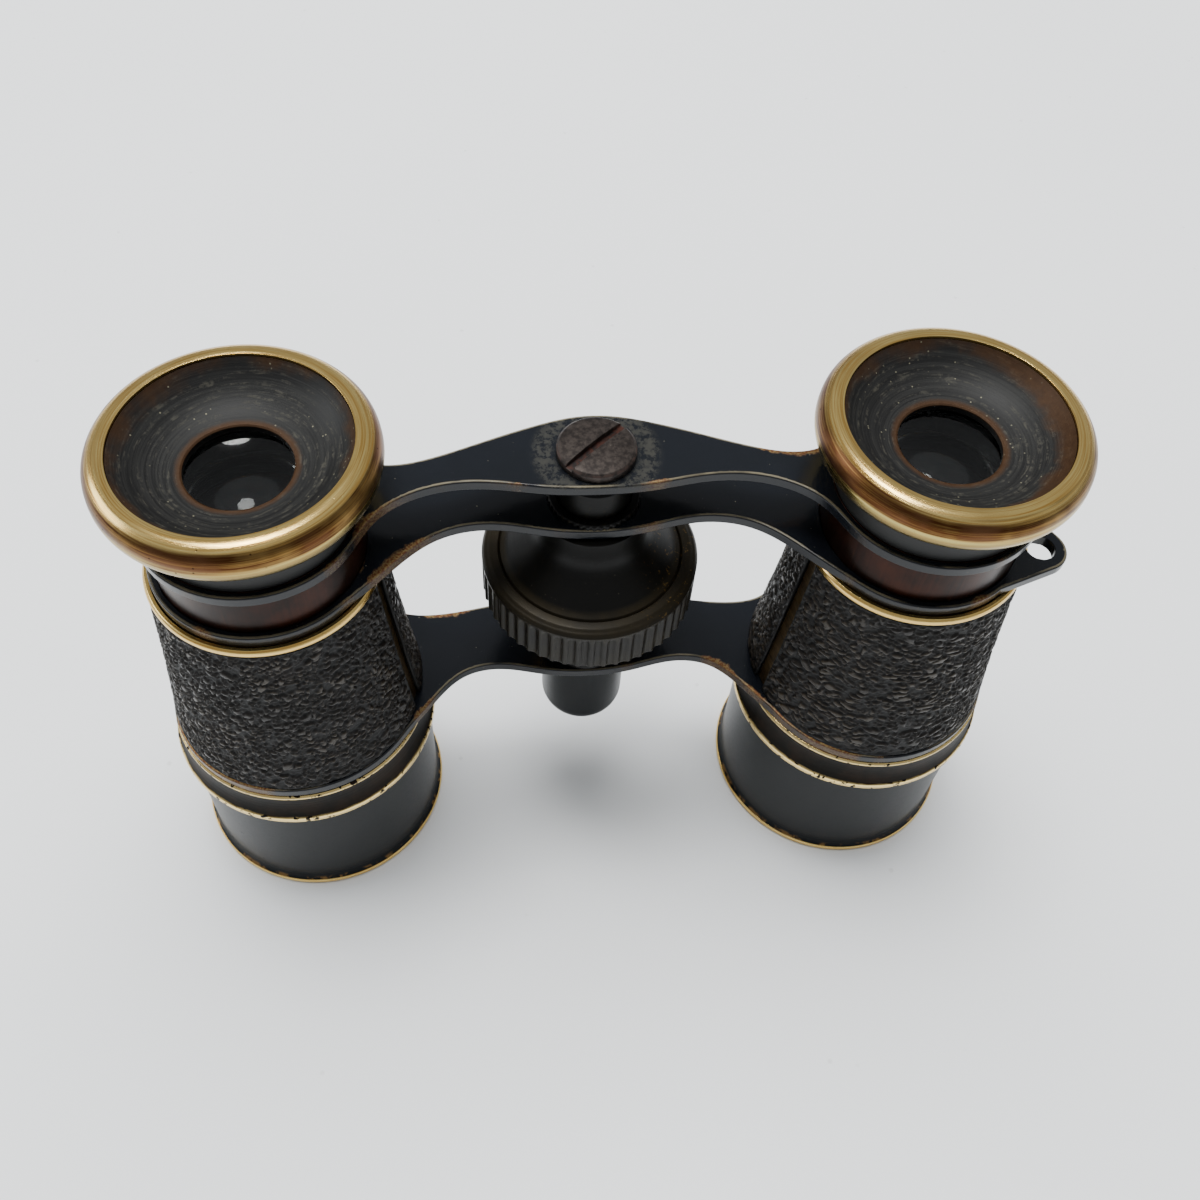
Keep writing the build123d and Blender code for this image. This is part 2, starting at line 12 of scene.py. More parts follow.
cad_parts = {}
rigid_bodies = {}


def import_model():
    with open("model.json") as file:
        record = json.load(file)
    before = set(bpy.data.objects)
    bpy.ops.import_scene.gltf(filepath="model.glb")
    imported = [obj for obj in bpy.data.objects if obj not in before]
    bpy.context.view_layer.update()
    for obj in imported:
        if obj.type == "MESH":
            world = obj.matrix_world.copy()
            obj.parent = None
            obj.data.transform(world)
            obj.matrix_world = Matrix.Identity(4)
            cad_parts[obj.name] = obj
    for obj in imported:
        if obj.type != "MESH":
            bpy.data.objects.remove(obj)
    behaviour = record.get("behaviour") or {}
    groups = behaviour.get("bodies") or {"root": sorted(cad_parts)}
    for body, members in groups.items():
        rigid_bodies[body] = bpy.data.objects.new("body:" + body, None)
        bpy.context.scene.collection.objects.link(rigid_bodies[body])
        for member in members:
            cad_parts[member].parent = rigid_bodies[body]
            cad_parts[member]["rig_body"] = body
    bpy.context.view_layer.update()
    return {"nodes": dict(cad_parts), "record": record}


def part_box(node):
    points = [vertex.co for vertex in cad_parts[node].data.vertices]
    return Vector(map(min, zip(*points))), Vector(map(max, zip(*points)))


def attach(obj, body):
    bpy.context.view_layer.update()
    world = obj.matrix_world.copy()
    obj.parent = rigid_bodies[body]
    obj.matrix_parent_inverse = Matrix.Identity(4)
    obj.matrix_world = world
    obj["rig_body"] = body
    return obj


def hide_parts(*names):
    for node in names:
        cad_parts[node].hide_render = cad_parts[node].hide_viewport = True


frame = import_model()

MM = 0.001                      # the frame is in metres, the sizes below in millimetres
SLOT_OF = {row["node"]: row["material_slot"] for row in frame["record"]["subparts"]}
BARRELS = ("left", "right")


def box_mm(node):
    low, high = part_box(node)
    return np.array(low) / MM, np.array(high) / MM


def axis_of(node):
    """Where a turned piece's vertical axis stands, in mm."""
    low, high = box_mm(node)
    return (low + high)[:2] / 2


BARREL_X, BARREL_Y = axis_of("right_eyecup")
FOCUS_Y = axis_of("focus_wheel")[1]
SEAT_Z = box_mm("top_bridge")[1][2]           # face that the eyecups stand on
RIM_TOP_Z = box_mm("right_eyecup_rim")[1][2]

# leather
SEAM_TURN = {"left": -14.0, "right": 194.0}    # degrees, the way the bare strip faces
SEAM_WIDTH = 1.7
GRAIN_DEPTH = 0.36
GRAIN_SIZE = {"left": (0.78, 0.70), "right": (1.30, 0.66)}     # one pebble, round and up
COVER_COLUMNS = 448
COVER_ROW = 0.155              # height of one row of faces on the outer side
PLAIN_ROW = 3.0                # and where nothing is grown
EDGE_FADE = 0.35               # the grain flattens this close to a cut edge
LEAST_FADE = 0.15              # share of it that is left there
GRAIN_FROM = (0.3, 0.45)       # mm off the flesh side where it starts and where it is full

# focus wheel and column bush: how many flutes, the ball cutter that makes them and its travel
FLUTES = {"count": 52, "cutter": 0.478, "centre": 11.12, "foot": 20.0, "top": 37.15}
TEETH = {"count": 44, "cutter": 0.20, "centre": 4.62, "foot": 20.0, "top": 60.0}
CUT_FROM_R = {"focus_wheel": 10.3, "column_bush": 4.2}     # outside this, close rows of faces
CUT_ROW = 0.5
FACETS_PER_FLUTE = 8
WHEEL_SHOULDER = 6.1           # above the wheel's foot

# smoothing of outlines, and the rounded edges of the plates
CORNER = math.radians(26)      # a sharper turn is rounded, a smaller one becomes a curve
BEND = math.radians(7)         # most that a curve turns in one step
SIDE_SHARE = 0.42              # most of a side that one rounding takes
FAR_EDGE = 9.0                 # edge distance where no outer corner is near
ROUND_ROWS = 5                 # rows of points over one rounded edge
ROUND_SHARE = 0.5              # edge distance on the rounding, as a share of the inset
HOLE_EDGE = 0.6                # edge distance at a hole, far enough for little wear
ROW_SHARE = 0.87               # rows of plate points stand this much closer than the points
CLEAR_SHARE = 0.7              # and stay this much of the spacing away from the outlines

# camera, in mm and degrees
CAMERA_PLACE = (-10.287, -71.816, 137.091)
CAMERA_YAW = 8.829
CAMERA_PITCH = 54.853          # below the level
CAMERA_ROLL = 4.742
CAMERA_ANGLE = 51.98


# ---- node trees ----------------------------------------------------------------------
class Value:
    """An output socket. Arithmetic on it adds Math nodes to its tree."""

    def __init__(self, tree, socket):
        self.tree = tree
        self.socket = socket

    def math(self, operation, *others, clamp=False):
        settings = {"operation": operation, "use_clamp": clamp}
        return self.tree.node("ShaderNodeMath", settings, dict(enumerate((self, *others))))

    def __add__(self, other):
        return self.math("ADD", other)

    def __sub__(self, other):
        return self.math("SUBTRACT", other)

    def __mul__(self, other):
        return self.math("MULTIPLY", other)

    def __truediv__(self, other):
        return self.math("DIVIDE", other)

    def __rsub__(self, other):
        return self.math("MULTIPLY", -1.0).math("ADD", other)

    __radd__ = __add__
    __rmul__ = __mul__

    def rise(self, low, high):
        """0 below low and 1 above high, smooth between; low may be the larger."""
        settings = {"interpolation_type": "SMOOTHSTEP"}
        if low < high:
            return self.tree.node("ShaderNodeMapRange", settings, {0: self, 1: low, 2: high})
        return self.tree.node(
            "ShaderNodeMapRange", settings, {0: self, 1: high, 2: low, 3: 1.0, 4: 0.0}
        )

    def most(self, other):
        """The larger of the two."""
        return self.math("MAXIMUM", other)

    def least(self, other):
        """The smaller of the two."""
        return self.math("MINIMUM", other)


class Tree:
    """A shader or geometry tree and the one method that adds nodes to it."""

    def __init__(self, made):
        self.made = made

    def node(self, kind, settings=None, inputs=None, output=0):
        made = self.made.nodes.new(kind)
        for name, value in (settings or {}).items():
            setattr(made, name, value)
        for key, value in (inputs or {}).items():
            if isinstance(value, Value):
                self.made.links.new(value.socket, made.inputs[key])
            else:
                made.inputs[key].default_value = value
        return Value(self, made.outputs[output])

    def mix(self, factor, first, second):
        settings = {"data_type": "RGBA"}
        return self.node("ShaderNodeMix", settings, {0: factor, 6: first, 7: second}, output=2)

    def vector(self, x, y, z):
        return self.node("ShaderNodeCombineXYZ", None, {0: x, 1: y, 2: z})

    def noise(self, where, scale, detail=3.0, roughness=0.55, distortion=0.0):
        inputs = {
            "Vector": where,
            "Scale": scale,
            "Detail": detail,
            "Roughness": roughness,
            "Distortion": distortion,
        }
        return self.node("ShaderNodeTexNoise", None, inputs)

    def cells(self, where, scale, feature="F1", randomness=1.0):
        inputs = {"Vector": where, "Scale": scale, "Randomness": randomness}
        settings = {"feature": feature}
        return self.node("ShaderNodeTexVoronoi", settings, inputs, output="Distance")


def paint(red, green, blue):
    """A colour given as 0 to 255 display values."""
    def linear(value):
        value /= 255
        return value / 12.92 if value < 0.04045 else ((value + 0.055) / 1.055) ** 2.4
    return (linear(red), linear(green), linear(blue), 1.0)


class Finish(Tree):
    """A material on object coordinates in mm, ready to take its colour and relief."""

    def __init__(self, name, **fixed):
        self.material = bpy.data.materials.new(name)
        self.material.use_nodes = True
        super().__init__(self.material.node_tree)
        self.shader = self.made.nodes["Principled BSDF"]
        for socket, value in fixed.items():
            self.shader.inputs[socket.replace("_", " ")].default_value = value
        here = self.node("ShaderNodeTexCoord", output="Object")
        scaled = {"operation": "SCALE"}
        self.place = self.node("ShaderNodeVectorMath", scaled, {0: here, "Scale": 1 / MM})
        split = self.node("ShaderNodeSeparateXYZ", None, {0: self.place})
        self.x, self.y, self.z = (
            Value(self, split.socket.node.outputs[i]) for i in range(3)
        )
        self.along = self.attribute("along")     # mm along the turned outline
        self.edge = self.attribute("edge")       # mm from the nearest outer corner

    def attribute(self, name):
        return self.node("ShaderNodeAttribute", {"attribute_name": name}, output="Fac")

    def barrel_radius(self):
        """Distance from the nearer barrel's axis."""
        out = self.x.math("ABSOLUTE") - float(BARREL_X)
        across = self.y - float(BARREL_Y)
        return (out * out + across * across).math("SQRT")

    def focus_radius(self):
        """Distance from the focus screw's axis."""
        across = self.y - float(FOCUS_Y)
        return (self.x * self.x + across * across).math("SQRT")

    def turning(self, fine, coarse=0.12, detail=4.0):
        """Marks of the lathe: noise drawn out round the piece."""
        where = self.vector(self.x * coarse, self.y * coarse, self.along * fine)
        return self.noise(where, 1.0, detail, 0.65)

    def specks(self, scale, size):
        """Small dots, 1 inside."""
        return self.cells(self.place, scale).rise(size, size * 0.4)

    def relief(self, height, distance, strength):
        """A normal raised by the height, whose 1 stands this many mm high."""
        inputs = {"Height": height, "Distance": distance * MM, "Strength": strength}
        return self.node("ShaderNodeBump", None, inputs)

    def wear(self, **linked):
        """Links the shader's sockets and returns the material."""
        for name, value in linked.items():
            socket = self.shader.inputs[name.replace("_", " ")]
            if isinstance(value, Value):
                self.made.links.new(value.socket, socket)
            else:
                socket.default_value = value
        return self.material


# ---- finishes ------------------------------------------------------------------------
def rim_brass():
    """Polished brass with fine turning marks, banded by height: a gold crest with a painted
    highlight, red-brown tarnish mixed with painted dark reflection below it, and a painted floor
    reflection on the pale low band.
    """
    f = Finish("rim_brass", Metallic=1.0)
    lines = f.turning(fine=9.0)
    broad = f.turning(fine=2.2, coarse=0.05, detail=2.0)
    cloud = f.noise(f.place, 0.16, 3.0)
    height = f.z - float(RIM_TOP_Z) + (broad - 0.5) * 1.1
    on_rim = f.z.rise(SEAT_Z + 1.0, SEAT_Z + 2.0)
    # the gold crest is polished brass brightened by a painted highlight
    crest_highlight = height.rise(-0.6, -0.12)
    # the pale low band is a painted reflection of the floor
    floor_reflection_band = height.rise(-1.7, -2.3)
    # the red-brown band between them is tarnish and painted dark reflection
    tarnish_and_dark_reflection = (1.0 - crest_highlight) * (1.0 - floor_reflection_band) * on_rim
    tarnish_and_dark_reflection = tarnish_and_dark_reflection + (cloud - 0.50) + (lines - 0.5) * 1.1
    tarnish_and_dark_reflection = tarnish_and_dark_reflection.math("ADD", 0.0, clamp=True)
    gold = f.mix(lines.rise(0.3, 0.7), paint(206, 160, 82), paint(252, 224, 146))
    brown = f.mix(cloud.rise(0.4, 0.62), paint(74, 42, 20), paint(104, 72, 48))
    # pale: the colour of the painted floor reflection
    pale = f.mix(broad.rise(0.35, 0.65), paint(176, 160, 100), paint(150, 126, 72))
    colour = f.mix(floor_reflection_band * on_rim, gold, pale)
    colour = f.mix(tarnish_and_dark_reflection, colour, brown)
    pits = f.specks(1.5, 0.16) * f.noise(f.place, 0.35).rise(0.56, 0.66)
    colour = f.mix(pits, colour, paint(52, 34, 18))
    rough = 0.21 + tarnish_and_dark_reflection * 0.15 + (lines - 0.5) * 0.2 + pits * 0.3
    normal = f.relief(lines + (1.0 - pits) * 0.6, 0.02, 0.7)
    return f.wear(Base_Color=colour, Roughness=rough, Normal=normal)


def tarnished_brass():
    """Brown-black lacquer in the hollow, rubbed to bright brass on both beads."""
    f = Finish("tarnished_brass", Specular_IOR_Level=0.15)
    lines = f.turning(fine=7.0)
    cloud = f.noise(f.place, 0.4, 4.0)
    top = box_mm("right_base_moulding")[1][2]
    foot = box_mm("right_base_moulding")[0][2]
    jitter = (cloud - 0.5) * 0.22
    bead = (f.z + jitter).rise(foot + 1.12, foot + 0.9)
    bead = bead.most((f.z + jitter).rise(top - 0.55, top - 0.36))
    chips = f.noise(f.place, 1.4, 3.0).rise(0.63, 0.56)
    brass = bead * chips
    brown = f.mix(cloud.rise(0.35, 0.65), paint(14, 11, 6), paint(30, 20, 11))
    colour = f.mix(brass, brown, f.mix(lines, paint(222, 190, 118), paint(246, 222, 160)))
    rough = 0.42 - brass * 0.18 + (lines - 0.5) * 0.2
    normal = f.relief(lines + cloud * 0.5, 0.014, 0.5)
    return f.wear(Base_Color=colour, Metallic=0.35 + brass * 0.65, Roughness=rough, Normal=normal)


def dark_brass():
    """Barrel: brown bronzing, rubbed thin beside the leather."""
    f = Finish("dark_brass", Metallic=0.85)
    lines = f.turning(fine=5.0)
    cloud = f.noise(f.place, 0.55, 4.0)
    worn = (cloud + lines * 0.9).rise(0.7, 1.25)
    colour = f.mix(worn, paint(62, 48, 31), paint(104, 84, 52))
    normal = f.relief(lines, 0.012, 0.5)
    return f.wear(Base_Color=colour, Roughness=0.46 - worn * 0.16, Normal=normal)


def bare_brass():
    """Brass that was never lacquered: dull yellow with turning marks."""
    f = Finish("bare_brass", Metallic=1.0)
    lines = f.turning(fine=6.0)
    cloud = f.noise(f.place, 0.5, 4.0)
    colour = f.mix(cloud.rise(0.35, 0.7), paint(150, 120, 66), paint(96, 72, 40))
    normal = f.relief(lines, 0.012, 0.6)
    return f.wear(Base_Color=colour, Roughness=0.32 + cloud * 0.2, Normal=normal)


def brown_lacquer():
    """Draw tube: deep red-brown lacquer over brass, polished by the bush."""
    f = Finish("brown_lacquer", Metallic=0.6, Specular_IOR_Level=0.2)
    rub = f.vector(f.x * 3.0, f.y * 3.0, f.z * 0.12)
    streaks = f.noise(rub, 1.0, 4.0)
    cloud = f.noise(f.place, 0.22, 3.0)
    colour = f.mix((cloud + streaks * 0.4).rise(0.5, 0.95), paint(24, 10, 5), paint(50, 22, 10))
    scratches = streaks.rise(0.68, 0.76)
    colour = f.mix(scratches * 0.25, colour, paint(150, 112, 66))
    normal = f.relief(streaks, 0.008, 0.5)
    return f.wear(Base_Color=colour, Roughness=0.3 + scratches * 0.15, Normal=normal)


def black_japan():
    """Stoved black japan on the bridges, rubbed to brown and copper along the edges, with a
    painted highlight line on the rounded edges.
    """
    f = Finish("black_japan", Specular_IOR_Level=0.32)
    cloud = f.noise(f.place, 0.13, 3.0)
    ragged = f.noise(f.place, 1.5, 5.0, 0.7)
    near_screw = f.focus_radius()
    on_top = f.z.rise(SEAT_Z - 0.5, SEAT_Z - 0.2)
    patch = f.noise(f.vector(f.x, f.y, f.z * 0.2), 0.11, 2.0)
    ends = f.x.math("ABSOLUTE").rise(2.5, 6.0)
    reach = patch.rise(0.50, 0.66) * ends + 0.03
    rub = (f.edge + (ragged - 0.5) * 1.1).math("DIVIDE", reach).rise(0.9, 0.25)
    rub = rub * patch.rise(0.50, 0.61) * ends * f.edge.rise(2.2, 0.5)
    rub = rub * (0.35 + f.edge.rise(0.0, 0.08) * 0.65)
    halo = near_screw.rise(6.4, 5.3) * near_screw.rise(3.4, 4.6) * on_top * ragged.rise(0.38, 0.6)
    fine = f.noise(f.place, 5.0, 3.0)
    scratch_way = f.vector(f.x * 0.35, f.y * 5.0 + f.x * 1.2, f.z)
    scratches = f.noise(scratch_way, 1.0, 5.0, 0.7).rise(0.69, 0.75) * cloud.rise(0.45, 0.7)
    specks = f.specks(1.1, 0.09) * ragged.rise(0.5, 0.6)
    bare = f.mix(fine.rise(0.4, 0.6), paint(116, 72, 48), paint(150, 126, 84))
    colour = f.mix(cloud, paint(12, 14, 17), paint(17, 20, 26))
    colour = f.mix(halo * 0.3, colour, paint(70, 68, 58))
    colour = f.mix(scratches * 0.35, colour, paint(110, 108, 100))
    colour = f.mix(specks * 0.6, colour, paint(120, 116, 98))
    # a pale line along the top of the rounded edges: a painted highlight
    edge_highlight = f.edge.rise(0.02, 0.07) * f.edge.rise(0.24, 0.14) * cloud.rise(0.36, 0.56)
    colour = f.mix(edge_highlight * 0.6, colour, paint(120, 112, 90))
    colour = f.mix(rub, colour, bare)
    rough = 0.15 + cloud * 0.08 + rub * 0.22 + halo * 0.25 + scratches * 0.15
    swell = f.noise(f.place, 0.5, 2.0) * 4.0 + fine * 0.12 - rub * 0.6
    normal = f.relief(swell, 0.012, 0.5)
    return f.wear(Base_Color=colour, Roughness=rough, Metallic=rub * 0.85, Normal=normal)


def shade_enamel():
    """Sunshades and cap: smooth blue-black enamel with small chips and scratches."""
    f = Finish("shade_enamel", Specular_IOR_Level=0.16)
    cloud = f.noise(f.place, 0.12, 3.0)
    fine = f.noise(f.place, 3.0, 4.0)
    chips = f.noise(f.place, 0.75, 5.0, 0.7).rise(0.70, 0.73)
    hair = f.noise(f.vector(f.x * 2.6, f.y * 2.6, f.z * 0.35 + f.x * 0.5), 1.0, 5.0, 0.7)
    hair = hair.rise(0.70, 0.74) * cloud.rise(0.45, 0.62)
    bottom = f.edge.rise(0.55, 0.1) * f.noise(f.place, 0.8).rise(0.5, 0.62)
    colour = f.mix(cloud, paint(7, 10, 12), paint(12, 15, 17))
    colour = f.mix(chips, colour, paint(5, 4, 3))
    colour = f.mix(hair * 0.4, colour, paint(96, 94, 88))
    colour = f.mix(bottom, colour, paint(120, 92, 56))
    rough = 0.33 + (fine - 0.5) * 0.1 + chips * 0.25 + hair * 0.2
    height = fine * 0.1 + cloud * 3.0 - chips * 0.9 - hair * 0.3
    normal = f.relief(height, 0.014, 0.5)
    return f.wear(Base_Color=colour, Roughness=rough, Metallic=bottom * 0.8, Normal=normal)


def bowl_black():
    """Eyecup: matt black bronzing, turned, browned at the hole and next to the rim."""
    f = Finish("bowl_black", Specular_IOR_Level=0.35)
    radius = f.barrel_radius()
    lines = f.turning(fine=5.5, coarse=0.10)
    arcs = f.turning(fine=3.0, coarse=0.35, detail=3.0)
    cloud = f.noise(f.place, 0.28, 4.0)
    ragged = f.noise(f.place, 1.6, 5.0, 0.7)
    in_bowl = f.z.rise(SEAT_Z + 4.75, SEAT_Z + 4.95)
    right_side = f.x.rise(BARREL_X + 1.0, BARREL_X + 8.0)
    brown_out = (radius + (cloud - 0.5) * 3.0 + right_side).rise(9.1, 10.6)
    brown_in = (radius + (ragged - 0.5) * 0.5).rise(5.5, 4.85)
    brown = brown_out.most(brown_in) * in_bowl
    film = arcs.rise(0.5, 0.66) * ragged.rise(0.42, 0.6) * in_bowl
    dots = f.specks(1.3, 0.13) * cloud.rise(0.46, 0.58) * in_bowl
    colour = f.mix(lines.rise(0.35, 0.7), paint(15, 15, 15), paint(30, 30, 29))
    colour = f.mix(film * 0.5, colour, paint(66, 64, 56))
    tan = f.mix(ragged, paint(52, 32, 18), paint(84, 60, 38))
    colour = f.mix(brown * 0.75, colour, tan)
    colour = f.mix(dots * 0.8, colour, paint(136, 132, 112))
    rough = 0.5 + (lines - 0.5) * 0.25 + film * 0.12
    height = lines + arcs * 0.5 + ragged * 0.3 + film * 0.3
    normal = f.relief(height, 0.016, 0.6)
    metal = (brown * 0.5).most(dots * 0.6)
    return f.wear(Base_Color=colour, Roughness=rough, Metallic=metal, Normal=normal)


def inner_black():
    """Matt black inside the tubes."""
    f = Finish("inner_black", Specular_IOR_Level=0.3)
    lines = f.turning(fine=4.0)
    dust = f.noise(f.place, 2.5, 4.0)
    colour = f.mix(dust.rise(0.55, 0.8), paint(13, 13, 13), paint(40, 38, 34))
    normal = f.relief(lines, 0.02, 0.6)
    return f.wear(Base_Color=colour, Roughness=0.55 + dust * 0.2, Normal=normal)


def gear_bronze():
    """Focus wheel, sleeve, pillar: black-brown bronzing, olive where hands have rubbed it."""
    f = Finish("gear_bronze", Specular_IOR_Level=0.2)
    lines = f.turning(fine=5.0, coarse=0.3)
    cloud = f.noise(f.place, 0.3, 4.0)
    ragged = f.noise(f.place, 1.8, 5.0, 0.7)
    band_z = box_mm("focus_wheel")[0][2] + WHEEL_SHOULDER
    wheel_high = box_mm("focus_wheel")[1][2]
    shoulder = f.z.rise(band_z - 0.55, band_z - 0.2) * f.z.rise(band_z + 0.75, band_z + 0.35)
    ribs = f.z.rise(band_z - 0.1, band_z - 0.5) * f.edge.rise(6.0, 0.0)
    proud = f.attribute("proud")
    high = f.z.rise(wheel_high + 0.5, wheel_high + 1.0)
    rub = (shoulder * 0.75).most(proud * ribs * 0.6) * (0.45 + cloud.rise(0.35, 0.65) * 0.55)
    rub = rub.most(high * ragged.rise(0.55, 0.7) * 0.7)
    right_worn = f.x.rise(3.5, 8.0) * ragged.rise(0.58, 0.68) * f.z.rise(band_z - 1.0, band_z)
    dots = f.specks(1.4, 0.13) * cloud.rise(0.42, 0.6)
    colour = f.mix(cloud, paint(6, 6, 5), paint(12, 11, 9))
    colour = f.mix(dots * 0.4, colour, paint(72, 68, 58))
    colour = f.mix(rub * 0.7, colour, f.mix(ragged, paint(58, 52, 40), paint(48, 42, 29)))
    colour = f.mix(right_worn * 0.6, colour, paint(130, 104, 58))
    rough = 0.42 + (lines - 0.5) * 0.2 - rub * 0.06
    height = lines * 0.7 + ragged * 0.5 + dots * 0.4
    normal = f.relief(height, 0.016, 0.6)
    metal = 0.1 + (rub * 0.6).most(right_worn * 0.75)
    return f.wear(Base_Color=colour, Roughness=rough, Metallic=metal, Normal=normal)


def screw_steel():
    """Iron screws, brown with age, rust in the slot."""
    f = Finish("screw_steel")
    ragged = f.noise(f.place, 1.5, 5.0, 0.7)
    grit = f.noise(f.place, 6.0, 4.0, 0.7)
    head_z = box_mm("bridge_screw")[1][2]
    slot = f.z.rise(head_z - 0.28, head_z - 0.45) * f.z.rise(SEAT_Z + 0.2, SEAT_Z + 0.4)
    slot = slot * f.focus_radius().rise(3.81, 3.54)
    glint = f.specks(0.9, 0.16) * ragged.rise(0.58, 0.66)
    colour = f.mix(ragged.rise(0.35, 0.65), paint(40, 35, 33), paint(68, 61, 57))
    rust = f.mix(ragged.rise(0.4, 0.6), paint(18, 12, 9), paint(52, 26, 18))
    colour = f.mix(slot, colour, rust)
    colour = f.mix(glint * 0.7, colour, paint(168, 164, 150))
    rough = 0.46 + (grit - 0.5) * 0.35 + slot * 0.2 - glint * 0.15
    normal = f.relief(grit * 0.5 + ragged, 0.03, 0.6)
    metal = 0.72 - slot * 0.6
    return f.wear(Base_Color=colour, Roughness=rough, Metallic=metal, Normal=normal)


def leather():
    """Black morocco: near black down in the creases as painted shade, dark brown above them,
    greyed and burnished on the pebbles.
    """
    f = Finish("leather", Specular_IOR_Level=0.32)
    grain = f.attribute("grain")
    cloud = f.noise(f.place, 0.14, 3.0)
    patch = f.noise(f.place, 0.45, 3.0)
    pores = f.noise(f.place, 7.0, 3.0, 0.7)
    peak = grain.rise(0.62, 0.95)
    # painted shade: near black down in the creases, dark brown where the grain rises
    colour = f.mix(grain.rise(0.1, 0.6), paint(1, 1, 1), paint(20, 15, 10))
    colour = f.mix(peak * cloud.rise(0.35, 0.65), colour, paint(52, 45, 35))
    colour = f.mix(peak * patch.rise(0.54, 0.70) * 0.25, colour, paint(84, 78, 68))
    colour = f.mix(cloud.rise(0.58, 0.75) * 0.3, colour, paint(30, 18, 12))
    rough = 0.56 - peak * 0.22 + (pores - 0.5) * 0.2
    normal = f.relief(grain + pores * 0.12, 0.12, 0.6)
    return f.wear(Base_Color=colour, Roughness=rough, Normal=normal)


def lens_glass():
    """Old crown glass with a little dust."""
    f = Finish("lens_glass", Transmission_Weight=1.0, IOR=1.4)
    dust = f.specks(2.0, 0.08).most(f.noise(f.place, 1.2, 4.0).rise(0.6, 0.9) * 0.5)
    clear, dusty = (0.93, 0.96, 0.95, 1.0), (0.60, 0.62, 0.60, 1.0)
    colour = f.mix(dust, clear, dusty)
    return f.wear(Base_Color=colour, Roughness=0.06 + dust * 0.2)


FINISHES = {
    make.__name__: make()
    for make in (
        rim_brass,
        tarnished_brass,
        dark_brass,
        bare_brass,
        brown_lacquer,
        black_japan,
        shade_enamel,
        bowl_black,
        inner_black,
        gear_bronze,
        screw_steel,
        leather,
        lens_glass,
    )
}


# ---- outlines ------------------------------------------------------------------------
def values_of(items, key, width=1, kind=float):
    """One property of a mesh's items, as an array with a row for each item."""
    read = np.empty(len(items) * width, kind)
    items.foreach_get(key, read)
    return read.reshape(-1, width) if width > 1 else read


def chained(ends):
    """Loops or open runs of points, from the pairs of points that join them."""
    def key(point):
        return (round(float(point[0]), 4), round(float(point[1]), 4))

    beside, place = {}, {}
    for first, second in ends:
        if key(first) == key(second):
            continue
        for one, other in ((first, second), (second, first)):
            place[key(one)] = one
            beside.setdefault(key(one), []).append(key(other))
    runs = []
    while beside:
        loose = [k for k, near in beside.items() if len(near) == 1]
        here = min(loose) if loose else min(beside)
        closed = not loose
        run = [here]
        while beside.get(here):
            following = beside[here].pop()
            beside[following].remove(here)
            if not beside[here]:
                del beside[here]
            here = following
            run.append(here)
        beside.pop(here, None)
        points = np.array([place[k] for k in (run[:-1] if closed else run)])
        runs.append((points, closed))
    return runs


def cut(node, across, plane):
    """Outlines where a CAD node crosses across == 0; plane gives a point's two coordinates."""
    mesh = frame["nodes"][node].data
    mesh.calc_loop_triangles()
    places = values_of(mesh.vertices, "co", 3) / MM
    corners = values_of(mesh.loop_triangles, "vertices", 3, int)
    over = across(places)
    flat = plane(places)
    above = over[corners] > 0
    ends = []
    for triangle in corners[above.any(1) & ~above.all(1)]:
        met = []
        for one, other in zip(triangle, np.roll(triangle, -1)):
            if (over[one] > 0) != (over[other] > 0):
                one, other = sorted((one, other), key=lambda k: tuple(places[k]))
                share = over[one] / (over[one] - over[other])
                met.append(flat[one] * (1 - share) + flat[other] * share)
        ends.append(met)
    return ends


def section_of(node, turn=0.65):
    """Half section of a turned node, cut at a turn in radians about its axis: its
    (radius, height) points, and whether they close."""
    centre = axis_of(node)
    out_x, out_y = math.cos(turn), math.sin(turn)

    def across(places):
        return (places[:, 1] - centre[1]) * out_x - (places[:, 0] - centre[0]) * out_y

    def plane(places):
        out = (places[:, 0] - centre[0]) * out_x + (places[:, 1] - centre[1]) * out_y
        return np.stack([out, places[:, 2]], 1)

    ends = [pair for pair in cut(node, across, plane) if pair[0][0] + pair[1][0] > 0]
    return max(chained(ends), key=lambda run: len(run[0]))


def unit(vectors):
    return vectors / np.maximum(np.linalg.norm(vectors, axis=-1, keepdims=True), 1e-9)


def signed_area(points):
    following = np.roll(points, -1, 0)
    return 0.5 * np.sum(points[:, 0] * following[:, 1] - following[:, 0] * points[:, 1])


def turn_between(first, second):
    side = first[0] * second[1] - first[1] * second[0]
    return math.atan2(side, float(np.dot(first, second)))


